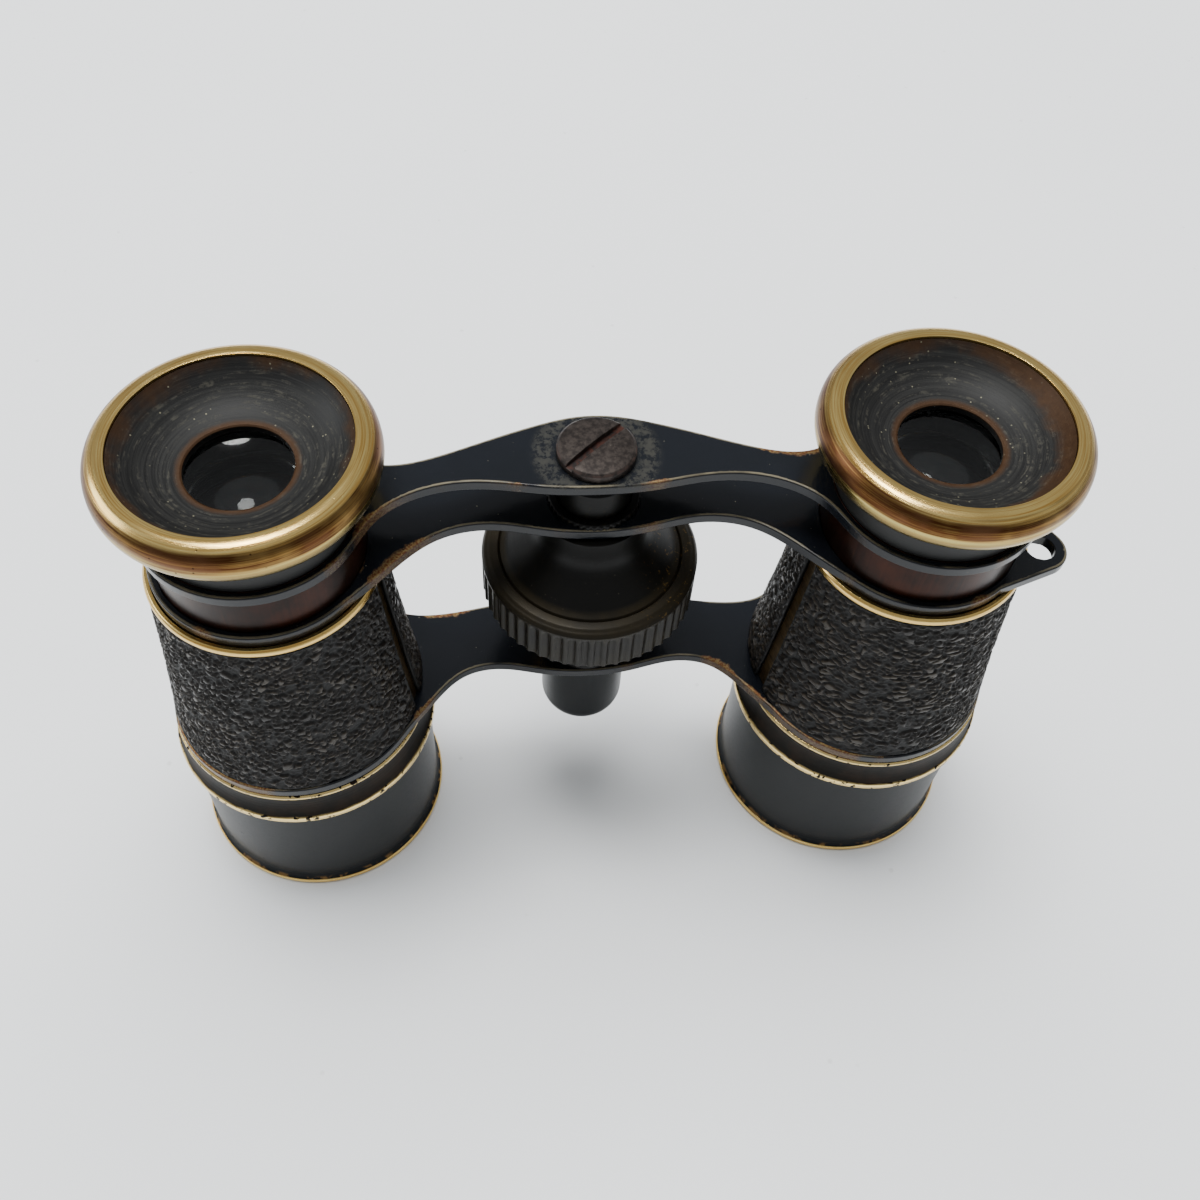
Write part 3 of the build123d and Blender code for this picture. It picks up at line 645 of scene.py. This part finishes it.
def eased(points, closed, ease, step=2.0):
    """An outline with rounded corners and smooth curves, as points, their outward
    normals and their distance from the nearest outer corner. step is the longest
    side in mm, or a function that gives it at a point."""
    if signed_area(points) < 0:
        points = points[::-1]
    span = np.linalg.norm(points - np.roll(points, 1, 0), axis=1)
    points = points[span > 1e-4] if closed else points[np.r_[True, span[1:] > 1e-4]]
    count = len(points)
    knots, sharp = [], []
    for i, here in enumerate(points):
        if not closed and i in (0, count - 1):
            way = points[1] - points[0] if i == 0 else points[-1] - points[-2]
            way = np.array([math.copysign(1.0, way[0]), 0.0])
            knots.append((here, way))
            continue
        came, goes = here - points[i - 1], points[(i + 1) % count] - here
        came_long, goes_long = np.linalg.norm(came), np.linalg.norm(goes)
        turn = turn_between(came, goes)
        if abs(turn) < CORNER:
            knots.append((here, unit(came * came_long + goes * goes_long)))
            continue
        if turn > 0:
            sharp.append(here)
        back = min(ease * math.tan(abs(turn) / 2), SIDE_SHARE * min(came_long, goes_long))
        start = here - came / came_long * back
        end = here + goes / goes_long * back
        for share in (0.0, 0.25, 0.5, 0.75, 1.0):
            at = start * (1 - share) ** 2 + here * 2 * share * (1 - share) + end * share**2
            knots.append((at, unit((here - start) * (1 - share) + (end - here) * share)))
    made, ways = [], []
    pairs = zip(knots, knots[1:] + knots[:1]) if closed else zip(knots, knots[1:])
    for (a, way_a), (b, way_b) in pairs:
        length = np.linalg.norm(b - a)
        bend = abs(turn_between(way_a, way_b))
        longest = step((a + b) / 2) if callable(step) else step
        parts = max(1, math.ceil(bend / BEND), math.ceil(length / longest))
        for k in range(parts):
            t = k / parts
            pull_a = (2 * t**3 - 3 * t**2 + 1, t**3 - 2 * t**2 + t)
            pull_b = (3 * t**2 - 2 * t**3, t**3 - t**2)
            at = a * pull_a[0] + way_a * length * pull_a[1]
            at = at + b * pull_b[0] + way_b * length * pull_b[1]
            way = (b - a) * 6 * t * (1 - t) + way_a * length * (3 * t**2 - 4 * t + 1)
            way = way + way_b * length * (3 * t**2 - 2 * t)
            made.append(at)
            ways.append(way_a if k == 0 else unit(way))
    if not closed:
        made.append(knots[-1][0])
        ways.append(knots[-1][1])
    made, ways = np.array(made), np.array(ways)
    normals = np.stack([ways[:, 1], -ways[:, 0]], 1)
    edge = np.full(len(made), FAR_EDGE)
    for place in sharp:
        edge = np.minimum(edge, np.linalg.norm(made - place, axis=1))
    return made, normals, edge


# ---- meshes --------------------------------------------------------------------------
def piece(name, places, faces, normals=None, **attributes):
    """A mesh object from places in mm."""
    mesh = bpy.data.meshes.new(name)
    mesh.from_pydata(np.asarray(places) * MM, [], faces)
    mesh.shade_smooth()
    for key, values in attributes.items():
        made = mesh.attributes.new(key, "FLOAT", "POINT")
        made.data.foreach_set("value", np.asarray(values, float))
    if normals is not None:
        mesh.normals_split_custom_set_from_vertices(normals.tolist())
    made = bpy.data.objects.new(name, mesh)
    bpy.context.scene.collection.objects.link(made)
    return made


def stand_for(made, *nodes):
    """The piece takes the place of CAD nodes of one body, with their slot and finish."""
    made.data.materials.clear()
    made.data.materials.append(FINISHES[SLOT_OF[nodes[0]]])
    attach(made, frame["nodes"][nodes[0]]["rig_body"])
    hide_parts(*nodes)


def spun_mesh(name, node, ease, segments, step=2.0, arc=None):
    """A turned node spun again from its own section, smooth, its corners rounded."""
    section, closed = section_of(node)
    outline, normals, edge = eased(section, closed, ease, step)
    along = np.r_[0, np.cumsum(np.linalg.norm(np.diff(outline, axis=0), axis=1))]
    centre = axis_of(node)
    rows = len(outline)
    if arc is None:
        angles = np.arange(segments) * 2 * math.pi / segments
    else:
        angles = np.linspace(*arc, segments + 1)
    around = np.stack([np.cos(angles), np.sin(angles)], 1)
    flat = outline[None, :, :1] * around[:, None, :] + centre
    tall = np.broadcast_to(outline[None, :, 1:], (len(angles), rows, 1))
    places = np.concatenate([flat, tall], 2).reshape(-1, 3)
    sideways = normals[None, :, :1] * around[:, None, :]
    upward = np.broadcast_to(normals[None, :, 1:], (len(angles), rows, 1))
    facing = np.concatenate([sideways, upward], 2).reshape(-1, 3)
    faces = []
    for i in range(segments):
        here, there = i * rows, (i + 1) % len(angles) * rows
        for j in range(rows if closed else rows - 1):
            k = (j + 1) % rows
            ring = (here + j, there + j, there + k, here + k)
            if not closed and j == 0:
                ring = (0, there + k, here + k)
            elif not closed and j == rows - 2:
                ring = (here + j, there + j, rows - 1)
            faces.append(ring)
    if arc is not None:
        faces.append(tuple(range(rows)))
        faces.append(tuple(range(segments * rows + rows - 1, segments * rows - 1, -1)))
    used = {
        "along": np.tile(along, len(angles)),
        "edge": np.tile(edge, len(angles)),
        "angle": np.repeat(angles, rows),
    }
    made = piece(name, places, faces, facing, **used)
    if not closed:
        shape = bmesh.new()
        shape.from_mesh(made.data)
        loose = [vertex for vertex in shape.verts if not vertex.link_faces]
        bmesh.ops.delete(shape, geom=loose, context="VERTS")
        shape.to_mesh(made.data)
        shape.free()
    return made


def plate_mesh(name, node, outer_ease=0.22, hole_ease=0.07, grid=0.5):
    """A bridge's plate from its own outline, with rounded edges and evenly dense faces."""
    low, high = box_mm(node)
    middle = (low[2] + high[2]) / 2
    ends = cut(node, lambda places: places[:, 2] - middle, lambda places: places[:, :2])
    loops = sorted((run[0] for run in chained(ends)), key=lambda run: -abs(signed_area(run)))
    rings, outlines = [], []
    places, normals, faces, edges = [], [], [], []
    for number, loop in enumerate(loops):
        outline, facing, _ = eased(loop, True, 0.15, step=0.8)
        ease = hole_ease if number else outer_ease
        if number:                       # a hole's wall faces its middle
            facing = -facing
        rows = []
        for level in range(2 * ROUND_ROWS):
            share = math.pi / 2 * (level % ROUND_ROWS) / (ROUND_ROWS - 1)
            if level < ROUND_ROWS:
                inset, z = ease * (1 - math.sin(share)), high[2] - ease * (1 - math.cos(share))
                lift = math.cos(share)
            else:
                inset, z = ease * (1 - math.cos(share)), low[2] + ease * (1 - math.sin(share))
                lift = -math.sin(share)
            aside = math.sqrt(1 - min(1.0, lift**2))
            rows.append(len(places))
            for point, way in zip(outline, facing):
                at = point - way * inset
                places.append((at[0], at[1], z))
                normals.append((way[0] * aside, way[1] * aside, lift))
                edges.append(HOLE_EDGE if number else inset * ROUND_SHARE)
        size = len(outline)
        for upper, lower in zip(rows, rows[1:]):
            for i in range(size):
                k = (i + 1) % size
                ring = (upper + i, lower + i, lower + k, upper + k)
                faces.append(ring if number == 0 else ring[::-1])
        rings.append((rows[0], rows[-1], size))
        outlines.append(outline)
    outer_edge = nearest_finder(outlines[0])
    any_edge = nearest_finder(np.concatenate(outlines))
    xs = np.arange(low[0], high[0], grid)
    ys = np.arange(low[1], high[1], grid * ROW_SHARE)
    inner = []
    for row, y in enumerate(ys):
        for x in xs + (row % 2) * grid / 2:
            clear = any_edge.find((x, y, 0))[2] > grid * CLEAR_SHARE
            if clear and on_plate(outlines, x, y):
                inner.append((x, y))
    for upper_side in (True, False):
        flat, index, links = [], [], []
        for top_row, bottom_row, size in rings:
            first = len(flat)
            row = top_row if upper_side else bottom_row
            flat += [Vector(places[row + i][:2]) for i in range(size)]
            index += [row + i for i in range(size)]
            links += [(first + i, first + (i + 1) % size) for i in range(size)]
        for x, y in inner:
            flat.append(Vector((x, y)))
            index.append(len(places))
            places.append((x, y, high[2] if upper_side else low[2]))
            normals.append((0, 0, 1 if upper_side else -1))
            edges.append(outer_edge.find((x, y, 0))[2])
        _, _, triangles, origin, _, _ = delaunay_2d_cdt(flat, links, [], 2, 1e-5)
        for triangle in triangles:
            middle_x, middle_y = (sum(flat[origin[k][0]][i] for k in triangle) / 3 for i in (0, 1))
            if not on_plate(outlines, middle_x, middle_y):
                continue
            a, b, c = (index[origin[k][0]] for k in triangle)
            area = (places[b][0] - places[a][0]) * (places[c][1] - places[a][1])
            area -= (places[c][0] - places[a][0]) * (places[b][1] - places[a][1])
            faces.append((a, b, c) if (area > 0) == upper_side else (a, c, b))
    return piece(name, places, faces, np.array(normals, float), edge=edges)


def nearest_finder(points):
    """A tree that finds how far away the nearest of some flat points is."""
    tree = KDTree(len(points))
    for i, point in enumerate(points):
        tree.insert((point[0], point[1], 0), i)
    tree.balance()
    return tree


def on_plate(outlines, x, y):
    """Whether a point is inside the outer outline and outside every hole."""
    return sum(winds(outline, x, y) for outline in outlines) % 2 == 1


def winds(outline, x, y):
    """1 where a point lies inside a closed outline."""
    following = np.roll(outline, -1, 0)
    crosses = (outline[:, 1] > y) != (following[:, 1] > y)
    if not crosses.any():
        return 0
    a, b = outline[crosses], following[crosses]
    at = a[:, 0] + (y - a[:, 1]) / (b[:, 1] - a[:, 1]) * (b[:, 0] - a[:, 0])
    return int(np.sum(at > x) % 2)


def softened(name, node, width):
    """A merged copy of a CAD node with small bevels on its sharp edges."""
    same_place, flat, sharp = 1e-7, math.radians(0.5), math.radians(30)
    shape = bmesh.new()
    shape.from_mesh(frame["nodes"][node].data)
    bmesh.ops.remove_doubles(shape, verts=shape.verts, dist=same_place)
    bmesh.ops.dissolve_limit(shape, angle_limit=flat, verts=shape.verts, edges=shape.edges)
    mesh = bpy.data.meshes.new(name)
    shape.to_mesh(mesh)
    shape.free()
    made = bpy.data.objects.new(name, mesh)
    bpy.context.scene.collection.objects.link(made)
    bevel = made.modifiers.new("bevel", "BEVEL")
    bevel.width = width * MM
    bevel.segments = 2
    bevel.limit_method = "ANGLE"
    bevel.angle_limit = sharp
    bevel.harden_normals = True
    mesh.shade_smooth()
    return settled(made)


def settled(made):
    """Turns a piece's modifiers into plain mesh."""
    graph = bpy.context.evaluated_depsgraph_get()
    shape = bpy.data.meshes.new_from_object(made.evaluated_get(graph))
    shape.name = made.name
    made.modifiers.clear()
    made.data = shape
    return made


# ---- geometry trees ------------------------------------------------------------------
class Growth(Tree):
    """A geometry tree that moves the points of one mesh."""

    def __init__(self, name, sizes):
        made = bpy.data.node_groups.new(name, "GeometryNodeTree")
        super().__init__(made)
        made.interface.new_socket("Geometry", in_out="OUTPUT", socket_type="NodeSocketGeometry")
        made.interface.new_socket("Geometry", in_out="INPUT", socket_type="NodeSocketGeometry")
        made.interface.new_socket("Finish", in_out="INPUT", socket_type="NodeSocketMaterial")
        for size in sizes:
            made.interface.new_socket(size, in_out="INPUT", socket_type="NodeSocketFloat")
        self.given = made.nodes.new("NodeGroupInput")
        self.result = made.nodes.new("NodeGroupOutput")

    def size(self, name):
        """One of the tree's own inputs."""
        return Value(self, self.given.outputs[name])

    def named(self, name):
        """A number that the mesh carries at each point."""
        settings = {"data_type": "FLOAT"}
        return self.node("GeometryNodeInputNamedAttribute", settings, {"Name": name})

    def close(self, shape):
        """Ends the tree in Realize Instances and Set Material."""
        plain = self.node("GeometryNodeRealizeInstances", None, {0: shape})
        ready = {"Geometry": plain, "Material": self.size("Finish")}
        dressed = self.node("GeometryNodeSetMaterial", None, ready)
        self.made.links.new(dressed.socket, self.result.inputs[0])

    def grow(self, made, finish, **sizes):
        """Runs the tree on a piece and keeps the plain mesh."""
        modifier = made.modifiers.new(self.made.name, "NODES")
        modifier.node_group = self.made
        sockets = {item.name: item.identifier for item in self.made.interface.items_tree
                   if item.in_out == "INPUT"}
        modifier[sockets["Finish"]] = finish
        for name, value in sizes.items():
            modifier[sockets[name]] = float(value)
        return settled(made)


def flute_tree():
    """Round-ended flutes cut by a ball cutter at even turns about a vertical axis."""
    g = Growth("flutes", ("count", "cutter", "centre", "foot", "top", "axis_y"))
    split = g.node("ShaderNodeSeparateXYZ", None, {0: g.node("GeometryNodeInputPosition")})
    x, y, z = (Value(g, split.socket.node.outputs[i]) / MM for i in range(3))
    y = y - g.size("axis_y")
    radius = (x * x + y * y).math("SQRT")
    phase = (g.named("angle") / (2 * math.pi) * g.size("count") + 0.5).math("FRACT") - 0.5
    aside = phase * (2 * math.pi) / g.size("count") * radius
    cutter = g.size("cutter")
    past = (z - g.size("top") + cutter).most(0.0)
    before = (g.size("foot") + cutter - z).most(0.0)
    away = aside * aside + past * past + before * before
    bite = (cutter * cutter - away).most(0.0).math("SQRT")
    target = (g.size("centre") - bite).least(radius)
    deep = (radius - target).rise(0.0, 0.02)
    target = radius + (target - radius) * deep
    outer = radius.math("GREATER_THAN", g.size("centre") - cutter * 1.6)
    target = radius + (target - radius) * outer
    share = target / radius
    moved = g.vector(x * share * MM, (y * share + g.size("axis_y")) * MM, z * MM)
    entry = Value(g, g.given.outputs["Geometry"])
    shape = g.node("GeometryNodeSetPosition", None, {"Geometry": entry, "Position": moved})
    stored = {"Geometry": shape, "Name": "proud", "Value": 1.0 - (radius - target) / 0.2}
    g.close(g.node("GeometryNodeStoreNamedAttribute", {"domain": "POINT"}, stored))
    return g


def grain_tree():
    """Morocco grain: pebbles between creases, raised on the leather's outer face."""
    g = Growth("morocco_grain", ("wide", "high", "depth", "shift"))
    around, up = g.named("around"), g.named("up")
    raised = g.named("raised")
    flat = g.vector(around, up, g.size("shift"))
    warp = g.noise(flat, 0.45, 3.0)
    warp_up = g.noise(g.vector(around, up, g.size("shift") + 7.0), 0.3, 3.0)
    across = (around + (warp - 0.5) * 2.4) / g.size("wide")
    upward = (up + (warp_up - 0.5) * 3.0) / g.size("high")
    cells = g.cells(g.vector(across, upward, 0.0), 1.0, "DISTANCE_TO_EDGE")
    pebble = cells.rise(0.0, 0.17)
    waves = g.noise(g.vector(across * 0.30, upward * 0.75, 3.0), 1.0, 2.0, 0.5, 0.3)
    crease = (waves - 0.5).math("ABSOLUTE").rise(0.0, 0.05)
    swell = g.noise(g.vector(across, upward, 5.0), 0.8, 2.0)
    grain = pebble.most(0.25) * (0.2 + crease * 0.8) * (0.8 + swell * 0.3)
    lift = (grain - 0.72) * g.size("depth") * raised * MM
    normal = g.node("GeometryNodeInputNormal")
    scaled = {0: normal, "Scale": lift}
    offset = g.node("ShaderNodeVectorMath", {"operation": "SCALE"}, scaled)
    entry = Value(g, g.given.outputs["Geometry"])
    shape = g.node("GeometryNodeSetPosition", None, {"Geometry": entry, "Offset": offset})
    stored = {"Geometry": shape, "Name": "grain", "Value": grain * raised}
    g.close(g.node("GeometryNodeStoreNamedAttribute", {"domain": "POINT"}, stored))
    return g


# ---- the turned pieces ---------------------------------------------------------------
TURNED = {                       # corner rounding in mm, and facets round the piece
    "barrel": (0.06, 160),
    "base_moulding": (0.07, 192),
    "collar_ring": (0.05, 160),
    "draw_bush": (0.05, 96),
    "objective_cell": (0.05, 96),
    "sunshade": (0.07, 192),
    "sunshade_rim": (0.06, 192),
    "draw_tube": (0.07, 160),
    "draw_stop": (0.08, 96),
    "eyecup": (0.10, 192),
    "eyecup_rim": (0.05, 256),
}
CENTRE_TURNED = {
    "focus_sleeve": (0.06, 96),
    "focus_nut": (0.06, 96),
    "wheel_washer": (0.05, 96),
    "wheel_pillar": (0.07, 96),
    "screw_cap": (0.07, 96),
}


def turned_pieces():
    """Everything that only a lathe has shaped."""
    jobs = {f"{side}_{stem}": sizes for side in BARRELS for stem, sizes in TURNED.items()}
    jobs.update(CENTRE_TURNED)
    for node, (ease, segments) in jobs.items():
        stand_for(spun_mesh(f"{node}_turned", node, ease, segments), node)


def fluted_pieces():
    """Focus wheel and column bush: turned, then fluted."""
    flutes = flute_tree()
    for node, cut_as in (("focus_wheel", FLUTES), ("column_bush", TEETH)):
        def step(point, cut_from=CUT_FROM_R[node]):
            return CUT_ROW if point[0] > cut_from else PLAIN_ROW
        facets = cut_as["count"] * FACETS_PER_FLUTE
        made = spun_mesh(f"{node}_fluted", node, 0.06, facets, step)
        made = flutes.grow(made, FINISHES[SLOT_OF[node]], axis_y=FOCUS_Y, **cut_as)
        stand_for(made, node)


def leather_covers():
    """Each cover is wrapped round its barrel from one side of the bare strip to the other."""
    grain = grain_tree()
    for side in BARRELS:
        node = f"{side}_leather"
        section, _ = section_of(node, turn=2.0)
        heights, flesh_r, skin_r = two_lines(section)
        girth = skin_r.mean()
        strip = SEAM_WIDTH / 2 / girth
        start = math.radians(SEAM_TURN[side]) + strip
        arc = (start, start + 2 * math.pi - 2 * strip)

        def step(point, heights=heights, middle=(flesh_r + skin_r) / 2):
            outer = point[0] > np.interp(point[1], heights, middle)
            return COVER_ROW if outer else PLAIN_ROW
        made = spun_mesh(f"{side}_morocco_cover", node, 0.1, COVER_COLUMNS, step, arc)
        mesh = made.data
        places = values_of(mesh.vertices, "co", 3) / MM
        angle = values_of(mesh.attributes["angle"].data, "value")
        edge = values_of(mesh.attributes["edge"].data, "value")
        centre = axis_of(node)
        radius = np.hypot(places[:, 0] - centre[0], places[:, 1] - centre[1])
        flesh = np.interp(places[:, 2], heights, flesh_r)
        outside = np.interp(radius - flesh, GRAIN_FROM, (0, 1))
        seam = np.minimum(angle - arc[0], arc[1] - angle) * girth
        fade = np.clip(edge / EDGE_FADE, LEAST_FADE, 1)
        fade = fade * np.clip(seam / EDGE_FADE, LEAST_FADE, 1)
        for key, values in (
            ("around", angle * girth),
            ("up", places[:, 2]),
            ("raised", outside * fade),
        ):
            mesh.attributes.new(key, "FLOAT", "POINT").data.foreach_set("value", values)
        wide, high = GRAIN_SIZE[side]
        grown = {"wide": wide, "high": high, "depth": GRAIN_DEPTH, "shift": len(side)}
        made = grain.grow(made, FINISHES["leather"], **grown)
        made.data.shade_smooth()
        stand_for(made, node)


def two_lines(section, levels=60, close=0.1, points=400):
    """Heights up a thin upright section, with the inner and the outer radius at each."""
    following = np.roll(section, -1, 0)
    dense = np.concatenate([np.linspace(a, b, points) for a, b in zip(section, following)])
    heights = np.linspace(section[:, 1].min() + close, section[:, 1].max() - close, levels)
    near = [dense[np.abs(dense[:, 1] - z) < close, 0] for z in heights]
    inner = np.array([radii.min() for radii in near])
    outer = np.array([radii.max() for radii in near])
    return heights, inner, outer


def bridges():
    """The three flat plates."""
    for node in ("top_bridge", "middle_bridge", "lower_bridge"):
        stand_for(plate_mesh(f"{node}_plate", node), node)


def slotted_screws():
    for node in ("bridge_screw", "end_screw"):
        stand_for(softened(f"{node}_slotted", node, 0.05), node)


# ---- setting -------------------------------------------------------------------------
def camera():
    place = Vector(CAMERA_PLACE) * MM
    yaw, pitch, roll = (math.radians(a) for a in (CAMERA_YAW, CAMERA_PITCH, CAMERA_ROLL))
    ahead = Vector(
        (math.sin(yaw) * math.cos(pitch), math.cos(yaw) * math.cos(pitch), -math.sin(pitch))
    )
    level = Vector((math.cos(yaw), -math.sin(yaw), 0))
    upward = level.cross(ahead)
    right = level * math.cos(roll) + upward * math.sin(roll)
    top = upward * math.cos(roll) - level * math.sin(roll)
    data = bpy.data.cameras.new("camera")
    data.angle = math.radians(CAMERA_ANGLE)
    data.clip_start = 0.01
    made = bpy.data.objects.new("camera", data)
    rotation = Matrix((right, top, -ahead)).transposed().to_4x4()
    made.matrix_world = Matrix.Translation(place) @ rotation
    bpy.context.scene.collection.objects.link(made)
    bpy.context.scene.camera = made


def floor():
    """A pale board under the glasses."""
    f = Finish("white_board", Specular_IOR_Level=0.2)
    cloud = f.noise(f.place, 0.01, 2.0)
    dust = f.specks(0.12, 0.05)
    colour = f.mix(cloud, (0.72, 0.74, 0.755, 1.0), (0.77, 0.785, 0.80, 1.0))
    colour = f.mix(dust * 0.3, colour, (0.4, 0.4, 0.4, 1.0))
    material = f.wear(Base_Color=colour, Roughness=0.6 + cloud * 0.1)
    half = 900.0
    places = [(-half, -half, 0), (half, -half, 0), (half, half, 0), (-half, half, 0)]
    made = piece("board", places, [(0, 1, 2, 3)])
    made.data.materials.append(material)


def lamp(name, place, target, size, power, colour):
    """A round lamp; place, target and size in metres."""
    data = bpy.data.lights.new(name, "AREA")
    data.shape = "DISK"
    data.size = size
    data.energy = power
    data.color = colour
    made = bpy.data.objects.new(name, data)
    made.location = place
    made.rotation_euler = (Vector(target) - Vector(place)).to_track_quat("-Z", "Y").to_euler()
    bpy.context.scene.collection.objects.link(made)
    return made


def lights():
    """A dim room, a wide soft ceiling that shows in no reflection, and two windows that do."""
    world = bpy.data.worlds.new("room")
    world.use_nodes = True
    bpy.context.scene.world = world
    back = world.node_tree.nodes["Background"]
    back.inputs["Color"].default_value = (0.94, 0.97, 1.0, 1.0)
    back.inputs["Strength"].default_value = 0.42
    centre = (0, 0, 0.02)
    ceiling = lamp("ceiling", (0.0, 0.42, 1.22), centre, 1.35, 37.0, (1.0, 1.0, 0.99))
    ceiling.visible_glossy = False
    ceiling.visible_transmission = False
    lamp("skylight", (-0.16, 0.20, 1.27), centre, 0.38, 8.0, (1.0, 1.0, 0.99))
    lamp("left_window", (-1.15, 0.25, 0.60), centre, 0.7, 5.0, (0.97, 0.99, 1.0))


camera()
floor()
lights()
for node, carried in frame["nodes"].items():
    carried.data.materials.clear()
    carried.data.materials.append(FINISHES[SLOT_OF[node]])
turned_pieces()
fluted_pieces()
leather_covers()
bridges()
slotted_screws()
